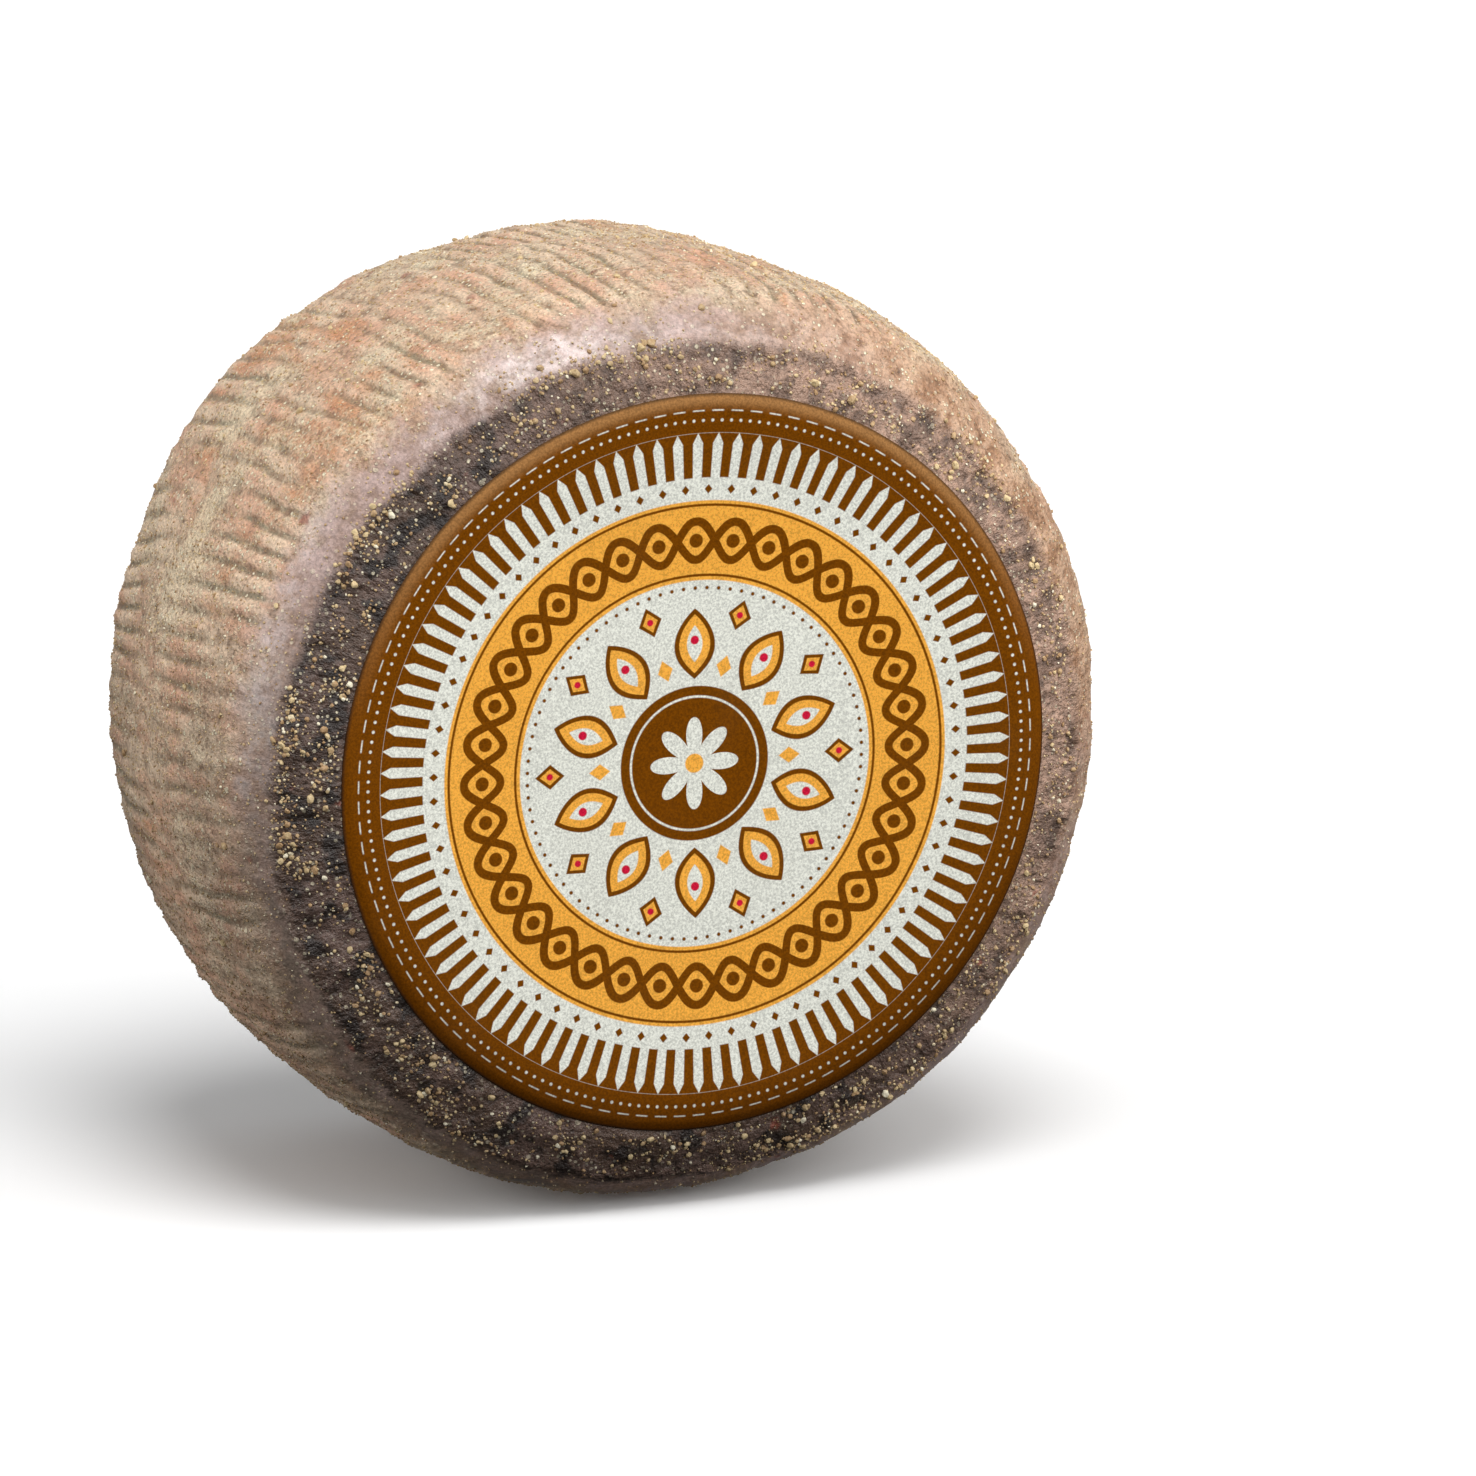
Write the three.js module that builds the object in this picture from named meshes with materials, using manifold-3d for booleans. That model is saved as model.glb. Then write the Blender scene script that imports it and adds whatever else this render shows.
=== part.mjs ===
// An aged sheep's-milk cheese wheel that stands on its edge, with a round paper label on its front face.
// Lengths are in millimetres and +Z is up. The wheel's axis is Y, and the labelled face looks along -Y.
// The origin is on the ground, under the middle of the wheel.

import * as THREE from "three";
import { mergeVertices } from "three/addons/utils/BufferGeometryUtils.js";
import Module from "manifold-3d";

// The wheel's outline, from the middle of its bulging side round to the middle of a face
const WHEEL_DIAMETER = 200; // at the fullest part of the side
const WHEEL_THICKNESS = 105.8; // between the crowns of the two faces
const SIDE_SLOPE = 7.8; // degrees that the side leans in where it meets the shoulder
const SHOULDER_RADIUS = 19.5; // of the round shoulder between side and face
const SHOULDER_END = 62; // degrees of slope, where the shoulder eases onto the face
const FACE_EDGE_RADIUS = 28; // of the softer bend that follows the shoulder, over the crown of the face
const DISH_SLOPE = 94; // degrees of slope, where that bend runs down into the shallow dish of the face

// Relief that the mould, the shelf and the keeping leave in the rind
const RIB_COUNT = 116; // ribs across the side, from the slots of the mould
const RIB_HEIGHT = 0.7; // from furrow to crest
const RIB_FADE_START = 34; // distance from the middle plane at which the ribs begin to die out
const RIB_FADE_END = 42;
const RIB_SLANT = -0.07; // degrees that a rib turns round the wheel in each millimetre towards the back
const MOULD_SEAM = 7; // behind the middle plane, where the ribs of the two halves meet out of step
const LOBE_COUNT = 4; // broad swells, with flats between them, from turning the wheel by hand
const LOBE_HEIGHT = 0.45;
const LOBE_START = 42; // degrees from +X towards the ground, where the first swell is
const LOBE_FADE_START = 79; // radius outside which the faces begin to swell too
const LOBE_FADE_END = 94;
const FOOT_DEPTH = 1.1; // how much the wheel has settled where it stands

// Granules of dried bloom, the largest of the crumbs on the rind
const GRANULES_FRONT = 22;
const GRANULES_BACK = 18;
const GRANULE_SMALLEST = 0.9; // radius
const GRANULE_LARGEST = 1.5;
const GRANULE_FLATTEST = 0.7; // of a granule's own width
const GRANULE_SHOULDER_SLOPE = 30; // degrees of slope on the shoulder, where they begin
const GRANULE_BACK_SLOPE = 70; // degrees of slope, where they end short of the crown of the back face
const GRANULE_CLEARANCE = 1; // between the innermost front ones and the label

// The paper label, which the glue holds just off the rind, a little off the wheel's axis
const LABEL_DIAMETER = 157;
const LABEL_THICKNESS = 0.5;
const LABEL_GAP = 0.3;
const LABEL_SIDEWAYS = 1.2; // of its middle from the axis, towards +X
const LABEL_DROP = 1.6; // of its middle below the axis
const LABEL_RIM_WIDTH = 9.5; // of the part that bends back over the crown of the face

// How finely the curves are cut up
const SIDE_STEPS = 3; // from the middle plane to one shoulder
const SHOULDER_STEPS = 3;
const FACE_EDGE_STEPS = 3;
const DISH_STEPS = 2;
const LABEL_MIDDLE_STEPS = 3;
const LABEL_RIM_STEPS = 3;
const LABEL_SEGMENTS = 96;

const DEGREE = Math.PI / 180;
const WHEEL_RADIUS = WHEEL_DIAMETER / 2;
const LABEL_RADIUS = LABEL_DIAMETER / 2;

const rindMaterial = new THREE.MeshStandardMaterial({ color: 0x8a7260, roughness: 0.7, metalness: 0 });
const paperMaterial = new THREE.MeshStandardMaterial({ color: 0xc9a35a, roughness: 0.75, metalness: 0 });

// A repeatable source of numbers from 0 to 1.
function seededRandom(seed) {
  let state = seed;
  return () => {
    state = (state * 1664525 + 1013904223) % 4294967296;
    return state / 4294967296;
  };
}

// The radius of the side's own long arc, chosen so that the wheel comes out WHEEL_THICKNESS thick.
function sideArcRadius() {
  const side = SIDE_SLOPE * DEGREE;
  const shoulder = SHOULDER_END * DEGREE;
  const bendRise =
    SHOULDER_RADIUS * (Math.sin(shoulder) - Math.sin(side)) + FACE_EDGE_RADIUS * (1 - Math.sin(shoulder));
  return (WHEEL_THICKNESS / 2 - bendRise) / Math.sin(side);
}

const SIDE_ARC_RADIUS = sideArcRadius();

// The point of the outline where it slopes by `slope` degrees, from 0 in the middle of the side to
// DISH_SLOPE just inside the crown of a face. Three arcs follow each other, each tangent to the last:
// side, shoulder and face edge. `outward` and `along` say which way the rind looks there.
function outline(slope) {
  const turn = slope * DEGREE;
  let radius = WHEEL_RADIUS;
  let height = 0;
  let from = 0;
  const follow = (arcRadius, end) => {
    const to = Math.min(turn, end * DEGREE);
    radius -= arcRadius * (Math.cos(from) - Math.cos(to));
    height += arcRadius * (Math.sin(to) - Math.sin(from));
    from = to;
  };
  follow(SIDE_ARC_RADIUS, SIDE_SLOPE);
  follow(SHOULDER_RADIUS, SHOULDER_END);
  follow(FACE_EDGE_RADIUS, DISH_SLOPE);
  return { radius, height, outward: Math.cos(turn), along: Math.sin(turn) };
}

// The point of the dish where it slopes by `slope` degrees, from DISH_SLOPE at its edge to 90 in its
// middle. It is one long arc, which bends the other way.
function dish(slope) {
  const turn = slope * DEGREE;
  const edge = outline(DISH_SLOPE);
  const arcRadius = edge.radius / -edge.outward;
  return {
    radius: slope > 90 ? -arcRadius * Math.cos(turn) : 0,
    height: edge.height - arcRadius * (Math.sin(turn) - edge.along),
    outward: Math.cos(turn),
    along: Math.sin(turn),
  };
}

// The points at which half the outline is cut, from the middle of the side to the middle of a face.
function halfOutline() {
  const cut = (curve, from, to, steps) =>
    Array.from({ length: steps }, (_, i) => curve(THREE.MathUtils.lerp(from, to, (i + 1) / steps)));
  return [
    outline(0),
    ...cut(outline, 0, SIDE_SLOPE, SIDE_STEPS),
    ...cut(outline, SIDE_SLOPE, SHOULDER_END, SHOULDER_STEPS),
    ...cut(outline, SHOULDER_END, DISH_SLOPE, FACE_EDGE_STEPS),
    ...cut(dish, DISH_SLOPE, 90, DISH_STEPS),
  ];
}

// How far the rind's facets stand from the middle plane at `radius` from the axis, round the face.
function faceHeight(radius) {
  const cuts = halfOutline();
  const inner = cuts.findIndex((point) => point.radius < radius);
  if (inner < 0) return cuts.at(-1).height;
  const [from, to] = [cuts[inner - 1], cuts[inner]];
  return THREE.MathUtils.mapLinear(radius, from.radius, to.radius, from.height, to.height);
}

// The slope of the outline where it is `radius` from the axis, found by halving.
function slopeAtRadius(radius) {
  let low = SIDE_SLOPE;
  let high = 90;
  while (high - low > 1e-6) {
    const middle = (low + high) / 2;
    if (outline(middle).radius > radius) low = middle;
    else high = middle;
  }
  return (low + high) / 2;
}

// A point of half the outline as a point of the whole one, on the front (-1) or the back (1).
function onSide(point, side) {
  return { ...point, y: point.height * side, along: point.along * side };
}

// Broad swells and flats. They die out on the faces, so that the label lies on a plain dish.
function lobeHeight(turn, point) {
  const share = THREE.MathUtils.smoothstep(point.radius, LOBE_FADE_START, LOBE_FADE_END);
  return LOBE_HEIGHT * share * Math.cos(LOBE_COUNT * (turn - LOBE_START * DEGREE));
}

// The ribs rise on every second column of the grid, and change step at the seam.
function ribHeight(column, point) {
  const beyondSeam = point.y > MOULD_SEAM ? 1 : 0;
  const crest = (column + beyondSeam) % 2 === 0;
  const share = 1 - THREE.MathUtils.smoothstep(Math.abs(point.y), RIB_FADE_START, RIB_FADE_END);
  return (crest ? 0.5 : -0.5) * RIB_HEIGHT * share;
}

// The wheel's body: the outline turned about Y, with the relief moved along each point's own normal.
function wheelBody() {
  const half = halfOutline();
  const front = half.map((point) => onSide(point, -1)).reverse();
  const rows = [...front, ...half.slice(1).map((point) => onSide(point, 1))];
  const columns = RIB_COUNT * 2;
  const profile = rows.map((row) => new THREE.Vector2(row.radius, row.y));
  const geometry = new THREE.LatheGeometry(profile, columns);
  const position = geometry.attributes.position;
  const footLevel = FOOT_DEPTH - WHEEL_RADIUS;
  for (let i = 0; i < position.count; i++) {
    const column = Math.floor(i / rows.length) % columns;
    const point = rows[i % rows.length];
    const turn = (column / columns) * 2 * Math.PI + RIB_SLANT * DEGREE * point.y;
    const rise = point.radius > 0 ? lobeHeight(turn, point) + ribHeight(column, point) : 0;
    const radius = point.radius + rise * point.outward;
    position.setXYZ(
      i,
      radius * Math.cos(turn),
      point.y + rise * point.along,
      Math.max(-radius * Math.sin(turn), footLevel),
    );
  }
  return geometry;
}

// One granule, a small uneven lump with its lower half in the rind.
function granule(random, turn, point) {
  const size = THREE.MathUtils.lerp(GRANULE_SMALLEST, GRANULE_LARGEST, random() ** 2);
  const geometry = new THREE.IcosahedronGeometry(size, 0);
  geometry.scale(1, THREE.MathUtils.lerp(GRANULE_FLATTEST, 1, random()), 1);
  geometry.rotateX(random() * Math.PI);
  geometry.rotateZ(random() * Math.PI);
  const rise = lobeHeight(turn, point);
  const radius = point.radius + rise * point.outward;
  geometry.translate(radius * Math.cos(turn), point.y + rise * point.along, -radius * Math.sin(turn));
  return geometry;
}

// The granules of the front (-1) or the back (1). They go round the wheel in even steps, each a little
// off its place, and across the rind as far as `toSlope` by the golden ratio, so that no two land close
// together.
function granules(side, count, toSlope, seed) {
  const random = seededRandom(seed);
  const goldenRatio = (Math.sqrt(5) - 1) / 2;
  return Array.from({ length: count }, (_, i) => {
    const turn = ((i + random() / 2) / count) * 2 * Math.PI;
    const slope = THREE.MathUtils.lerp(GRANULE_SHOULDER_SLOPE, toSlope, (i * goldenRatio) % 1);
    return granule(random, turn, onSide(outline(slope), side));
  });
}

// A closed geometry of three.js as a solid for joining.
function solidFrom(library, geometry) {
  const bare = geometry.clone();
  bare.deleteAttribute("normal");
  bare.deleteAttribute("uv");
  const merged = mergeVertices(bare);
  const mesh = new library.Mesh({
    numProp: 3,
    vertProperties: new Float32Array(merged.attributes.position.array),
    triVerts: new Uint32Array(merged.index.array),
  });
  return new library.Manifold(mesh);
}

// A joined solid as a geometry of three.js.
function geometryFrom(solid) {
  const mesh = solid.getMesh();
  const geometry = new THREE.BufferGeometry();
  geometry.setAttribute("position", new THREE.BufferAttribute(mesh.vertProperties, 3));
  geometry.setIndex(new THREE.BufferAttribute(mesh.triVerts, 1));
  return geometry;
}

// The wheel: its body with the granules of both faces joined on.
async function cheeseWheel() {
  const library = await Module();
  library.setup();
  const labelReach = LABEL_RADIUS + Math.hypot(LABEL_SIDEWAYS, LABEL_DROP);
  const labelSlope = slopeAtRadius(labelReach + GRANULE_CLEARANCE + GRANULE_LARGEST);
  const lumps = [
    ...granules(-1, GRANULES_FRONT, labelSlope, 11),
    ...granules(1, GRANULES_BACK, GRANULE_BACK_SLOPE, 23),
  ];
  const solid = lumps.reduce(
    (joined, lump) => joined.add(solidFrom(library, lump)),
    solidFrom(library, wheelBody()),
  );
  const wheel = new THREE.Mesh(geometryFrom(solid), rindMaterial);
  wheel.name = "cheese_wheel";
  return wheel;
}

// The label: a flat disc, moved off the axis and then pressed onto the dished face, so that it keeps its
// gap from the rind all over and bends back at its rim.
function paperLabel() {
  const rimStart = LABEL_RADIUS - LABEL_RIM_WIDTH;
  const radii = [
    0,
    ...Array.from({ length: LABEL_MIDDLE_STEPS }, (_, i) => (rimStart * (i + 1)) / LABEL_MIDDLE_STEPS),
    ...Array.from({ length: LABEL_RIM_STEPS }, (_, i) =>
      THREE.MathUtils.lerp(rimStart, LABEL_RADIUS, (i + 1) / LABEL_RIM_STEPS),
    ),
  ];
  const sheet = (lift) => radii.map((radius) => new THREE.Vector2(radius, -lift));
  const profile = [...sheet(LABEL_GAP + LABEL_THICKNESS), ...sheet(LABEL_GAP).reverse()];
  const geometry = new THREE.LatheGeometry(profile, LABEL_SEGMENTS);
  geometry.translate(LABEL_SIDEWAYS, 0, -LABEL_DROP);
  const position = geometry.attributes.position;
  for (let i = 0; i < position.count; i++) {
    const radius = Math.hypot(position.getX(i), position.getZ(i));
    position.setY(i, position.getY(i) - faceHeight(radius));
  }
  const label = new THREE.Mesh(geometry, paperMaterial);
  label.name = "paper_label";
  return label;
}

// The model is set down so that its foot is on the ground and the wheel's box is centred over the origin.
const wheel = await cheeseWheel();
const model = new THREE.Group();
model.add(wheel, paperLabel());
const box = new THREE.Box3().setFromObject(wheel);
model.position.set(-(box.min.x + box.max.x) / 2, -(box.min.y + box.max.y) / 2, -box.min.z);

export default model;
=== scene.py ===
import itertools
import math

import bpy
import numpy as np
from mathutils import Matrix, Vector


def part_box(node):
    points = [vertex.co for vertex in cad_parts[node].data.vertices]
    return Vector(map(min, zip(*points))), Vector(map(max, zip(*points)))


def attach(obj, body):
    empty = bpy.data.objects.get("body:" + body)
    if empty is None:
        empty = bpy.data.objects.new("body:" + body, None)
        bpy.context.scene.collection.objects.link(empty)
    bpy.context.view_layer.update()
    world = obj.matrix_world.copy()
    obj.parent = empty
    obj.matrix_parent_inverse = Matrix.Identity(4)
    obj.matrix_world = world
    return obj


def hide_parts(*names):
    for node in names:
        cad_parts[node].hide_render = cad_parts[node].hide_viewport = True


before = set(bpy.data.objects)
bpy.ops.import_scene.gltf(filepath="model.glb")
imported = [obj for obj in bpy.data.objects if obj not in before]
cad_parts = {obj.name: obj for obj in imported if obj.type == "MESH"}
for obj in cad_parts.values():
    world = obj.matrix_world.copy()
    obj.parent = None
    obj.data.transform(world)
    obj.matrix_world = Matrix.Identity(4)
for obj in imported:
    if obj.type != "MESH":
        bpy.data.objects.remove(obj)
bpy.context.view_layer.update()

# The camera stands to the left of the labelled face and a little above it, as it did for the photograph.
# Its lens is long, so the far side of the wheel hardly shrinks.
PHOTO_WIDTH = 1476  # pixels
PHOTO_SCALE = 4820  # pixels for a metre at the front face
FACE_X_PIXEL = 692
FACE_Y_PIXEL = 758
VIEW_AZIMUTH = math.radians(-21.9)
VIEW_ELEVATION = math.radians(13.5)
VIEW_DISTANCE = 2.07

wheel_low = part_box("cheese_wheel")[0]
AXIS_HEIGHT = 0.0989
front_centre = Vector((0, wheel_low.y, AXIS_HEIGHT))
view_back = Vector((
    math.sin(VIEW_AZIMUTH) * math.cos(VIEW_ELEVATION),
    -math.cos(VIEW_AZIMUTH) * math.cos(VIEW_ELEVATION),
    math.sin(VIEW_ELEVATION),
))
bpy.ops.object.select_all(action="DESELECT")
bpy.ops.object.camera_add(location=front_centre + view_back * VIEW_DISTANCE)
camera = bpy.context.object
camera.name = "photo_camera"
camera.rotation_euler = view_back.to_track_quat("Z", "Y").to_euler()
camera.data.lens = camera.data.sensor_width * PHOTO_SCALE * VIEW_DISTANCE / PHOTO_WIDTH
camera.data.shift_x = 0.5 - FACE_X_PIXEL / PHOTO_WIDTH
camera.data.shift_y = FACE_Y_PIXEL / PHOTO_WIDTH - 0.5
camera.data.clip_end = 50
bpy.context.scene.camera = camera

# The rind is the wheel's own skin: cheese dried hard and brown on the outside, ribbed round the side by the
# slots of its mould, smooth and greasy on the shoulders, and dark and crumbly round the two dished faces. It
# is one closed skin: its outline is drawn point by point, spun round the axis and then worked over.
WHEEL_RADIUS = 0.100
WHEEL_THICKNESS = 0.1058
SIDE_SLOPE = math.radians(7.8)
SHOULDER_RADIUS = 0.0195
SHOULDER_END = math.radians(62)
FACE_EDGE_RADIUS = 0.028
DISH_SLOPE = math.radians(94)
LABEL_RADIUS = 0.0785
LABEL_SIDEWAYS = 0.0012
LABEL_DROP = 0.0016
COLUMNS_PER_RIB = 6
RIB_COUNT = 116
SIDE_ROWS = 26
SHOULDER_ROWS = 16
FACE_EDGE_ROWS = 16
LABELLED_DISH_ROWS = 3
BARE_DISH_ROWS = 25


def outline_arcs():
    """The arcs from the middle of the side to the middle of a face, each with its bend and end slopes."""
    rise = SHOULDER_RADIUS * (math.sin(SHOULDER_END) - math.sin(SIDE_SLOPE))
    rise += FACE_EDGE_RADIUS * (1 - math.sin(SHOULDER_END))
    side_bend = (WHEEL_THICKNESS / 2 - rise) / math.sin(SIDE_SLOPE)
    reach = side_bend * (1 - math.cos(SIDE_SLOPE))
    reach += SHOULDER_RADIUS * (math.cos(SIDE_SLOPE) - math.cos(SHOULDER_END))
    reach += FACE_EDGE_RADIUS * (math.cos(SHOULDER_END) - math.cos(DISH_SLOPE))
    dish_bend = (WHEEL_RADIUS - reach) / math.cos(DISH_SLOPE)
    return (
        (side_bend, 0.0, SIDE_SLOPE),
        (SHOULDER_RADIUS, SIDE_SLOPE, SHOULDER_END),
        (FACE_EDGE_RADIUS, SHOULDER_END, DISH_SLOPE),
        (dish_bend, DISH_SLOPE, math.pi / 2),
    )


def half_outline(rows):
    """Radius, height, length of rind and slope at the cuts of half the outline, so many on each arc."""
    radius, height, length = WHEEL_RADIUS, 0.0, 0.0
    cuts = [(radius, height, length, 0.0)]
    for (bend, start, end), count in zip(outline_arcs(), rows):
        for slope in np.linspace(start, end, count + 1)[1:]:
            cuts.append((
                max(radius - bend * (math.cos(start) - math.cos(slope)), 0.0),
                height + bend * (math.sin(slope) - math.sin(start)),
                length + abs(bend * (slope - start)),
                slope,
            ))
        radius, height, length, _ = cuts[-1]
    return np.array(cuts).T


def spun(name, radii, heights, steps, middle):
    """A skin made by drawing an outline beside an axis, point by point, and spinning it round."""
    points = [middle + Vector((x, y, 0)) for x, y in zip(radii.tolist(), heights.tolist())]
    bpy.ops.object.select_all(action="DESELECT")
    bpy.ops.mesh.primitive_plane_add(size=0.001)
    skin = bpy.context.object
    skin.name = name
    bpy.ops.object.mode_set(mode="EDIT")
    bpy.ops.mesh.select_all(action="SELECT")
    bpy.ops.mesh.merge(type="CENTER")
    bpy.ops.transform.translate(value=points[0])
    for before, after in zip(points, points[1:]):
        bpy.ops.mesh.extrude_region_move(TRANSFORM_OT_translate={"value": after - before})
    bpy.ops.mesh.select_all(action="SELECT")
    bpy.ops.mesh.spin(steps=steps, angle=math.tau, center=middle, axis=(0, 1, 0))
    bpy.ops.mesh.select_all(action="SELECT")
    bpy.ops.mesh.remove_doubles(threshold=2e-6)
    bpy.ops.mesh.normals_make_consistent(inside=False)
    bpy.ops.object.mode_set(mode="OBJECT")
    bpy.ops.object.shade_smooth()
    return skin


def numbers(collection, key, width):
    """One number, or a row of width numbers, for each item of a mesh, such as its vertices' places."""
    found = np.zeros(len(collection) * width)
    collection.foreach_get(key, found)
    return found.reshape(-1, width) if width > 1 else found


def ease(value, low, high):
    """0 below low, 1 above high, and a smooth step between them."""
    share = np.clip((value - low) / (high - low), 0, 1)
    return share * share * (3 - 2 * share)


def clouds(places, size, seed):
    """Smooth noise from about -1 to 1: random heights on a grid of that size, eased between its points."""
    grid = np.random.default_rng(seed).uniform(-1.5, 1.5, (32, 32, 32))
    spots = places / size + 0.37 * seed
    corner = np.floor(spots).astype(int)
    share = spots - corner
    share = share * share * (3 - 2 * share)
    total = np.zeros(len(spots))
    for step in itertools.product((0, 1), repeat=3):
        weight = np.prod(np.where(step, share, 1 - share), axis=1)
        total += weight * grid[tuple(((corner + step) % 32).T)]
    return total


class Skin:
    """Where points of the rind lie: their turn from +X towards the ground, and how far along the outline."""

    def __init__(self, places):
        x, self.y, z = places[:, 0], places[:, 1], places[:, 2] - AXIS_HEIGHT
        self.radius = np.hypot(x, z)
        self.turn = np.arctan2(-z, x)
        radii, heights, lengths, slopes = half_outline((400, 400, 300, 400))
        tilt = np.arctan2(np.abs(self.y), self.radius)
        self.slope = np.interp(tilt, np.arctan2(heights, radii), slopes)
        self.length = np.interp(tilt, np.arctan2(heights, radii), lengths)
        self.beyond_label = np.hypot(x - LABEL_SIDEWAYS, z + LABEL_DROP) - LABEL_RADIUS
        self.wrap = np.stack([
            WHEEL_RADIUS * np.cos(self.turn),
            WHEEL_RADIUS * np.sin(self.turn),
            self.length * np.sign(self.y),
        ], axis=1)
        self.round = self.wrap * (1, 1, 0)


RIB_HEIGHT = 0.00076
RIB_SLANT = math.radians(-70)  # for each metre towards the back
RIB_END = 0.0412  # length of rind from the middle of the side to the ends of the ribs
RIB_END_SPREAD = 0.0014
MOULD_SEAM = 0.007
SEAM_WIDTH = 0.0016
SEAM_DEPTH = 0.00016
SEAM_GAP = 0.8  # how much of the ribs is missing along the seam
CREST = 0.0515  # length of rind to the crest between shoulder and face
CREST_SHIFT = 0.0025  # more than that at the top and less at the bottom
CREST_HEIGHT = 0.00035
CREST_WIDTH = 0.0018
RING_DEPTH = 0.0004
GROOVE_DEPTH = 0.0006  # of the short furrows just inside the crest
GROOVE_WIDTH = 0.0026
SWELL_HEIGHT = 0.00055
SWELL_WIDTH = 0.030
DENT_HEIGHT = 0.00026
DENT_WIDTH = 0.010
PEBBLE_HEIGHT = 0.00012
PEBBLE_WIDTH = 0.0036
GRIT_HEIGHT = 0.00042  # on the dark rings
GRIT_WIDTH = 0.0022
CRUST_HEIGHT = 0.00018  # on the side
CRUST_WIDTH = 0.0022
LOBE_COUNT = 4
LOBE_HEIGHT = 0.00045
LOBE_START = math.radians(42)
LOBE_RADII = (0.079, 0.094)
LABEL_MARGIN = 0.0016  # round the label, where the rind is still smooth
LABEL_BED = 0.0002  # depth of the smooth rind under the label

half_front = half_outline((SIDE_ROWS, SHOULDER_ROWS, FACE_EDGE_ROWS, LABELLED_DISH_ROWS))
half_back = half_outline((SIDE_ROWS, SHOULDER_ROWS, FACE_EDGE_ROWS, BARE_DISH_ROWS))
radii = np.concatenate([half_front[0][::-1], half_back[0][1:]])
heights = np.concatenate([-half_front[1][::-1], half_back[1][1:]])
rind = spun("ribbed_rind", radii, heights, RIB_COUNT * COLUMNS_PER_RIB, Vector((0, 0, AXIS_HEIGHT)))

places = numbers(rind.data.vertices, "co", 3)
skin = Skin(places)
wander = 0.22 * clouds(skin.wrap, 0.024, 1) + 0.08 * clouds(skin.wrap, 0.008, 2)
phase = (skin.turn - RIB_SLANT * skin.y) * RIB_COUNT / math.tau + wander + 0.5 * (skin.y > MOULD_SEAM)
bulge = (0.5 + 0.5 * np.cos(math.tau * phase)) ** 0.6
rib_end = RIB_END - 0.001 * np.sin(skin.turn) + RIB_END_SPREAD * clouds(skin.round, 0.006, 3)
rib_share = 1 - ease(skin.length, rib_end - 0.0035, rib_end + 0.0010)
rib_share *= 0.20 + 0.80 * ease(clouds(skin.wrap * (1, 1, 0.6), 0.012, 4), -0.60, 0.50)
rib_share *= 0.55 + 0.45 * ease(np.abs(skin.y - 0.001), 0.006, 0.020)
seam = np.exp(-(((skin.y - MOULD_SEAM) / SEAM_WIDTH) ** 2))
rib_share *= 1 - SEAM_GAP * seam
ribs = (2 * bulge - 1) * rib_share

crest = CREST - CREST_SHIFT * np.sin(skin.turn) + 0.0006 * clouds(skin.round, 0.009, 5)
ring = ease(skin.length, crest - 0.0010, crest + 0.0016)
grooves = np.clip(clouds(skin.wrap * (1, 1, 0.25), GROOVE_WIDTH, 6), 0, 1)
near_crest = np.exp(-(((skin.length - crest - 0.003) / 0.0030) ** 2))
relief = SWELL_HEIGHT * clouds(places, SWELL_WIDTH, 7)
relief += DENT_HEIGHT * clouds(places, DENT_WIDTH, 8)
relief += PEBBLE_HEIGHT * (1 + ring) * clouds(places, PEBBLE_WIDTH, 9)
relief += RIB_HEIGHT * ((bulge - 1) * rib_share + 0.5 * (1 - ease(skin.length, 0.036, 0.050)))
relief -= SEAM_DEPTH * seam
relief += CREST_HEIGHT * np.exp(-(((skin.length - crest) / CREST_WIDTH) ** 2))
relief -= RING_DEPTH * ring
relief -= GROOVE_DEPTH * near_crest * grooves
relief += GRIT_HEIGHT * ring * np.clip(clouds(places, GRIT_WIDTH, 10), -0.4, 1)
crust = clouds(skin.wrap * (1, 1, 0.5), CRUST_WIDTH, 11)
relief += CRUST_HEIGHT * (1 - ease(skin.length, 0.038, 0.048)) * crust
lobes = LOBE_HEIGHT * ease(skin.radius, *LOBE_RADII) * np.cos(LOBE_COUNT * (skin.turn - LOBE_START))
open_rind = np.maximum(ease(skin.beyond_label, 0.0, LABEL_MARGIN), skin.y > 0)
relief = (relief + lobes) * open_rind - LABEL_BED * (1 - open_rind)

outward = np.cos(skin.slope)
along = np.sin(skin.slope) * np.sign(skin.y)
normals = np.stack([np.cos(skin.turn) * outward, along, -np.sin(skin.turn) * outward], axis=1)
shaped = places + normals * relief[:, None]
shaped[:, 2] = np.maximum(shaped[:, 2], 0.0)
rind.data.vertices.foreach_set("co", shaped.ravel())
beyond_crest = (skin.length - crest) * 1000
for name, values in (("rib", ribs), ("beyond_crest", beyond_crest)):
    rind.data.attributes.new(name, "FLOAT", "POINT").data.foreach_set("value", values)
rind.data.attributes.new("wrap", "FLOAT_VECTOR", "POINT").data.foreach_set("vector", skin.wrap.ravel())
rind.data.update()


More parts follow.
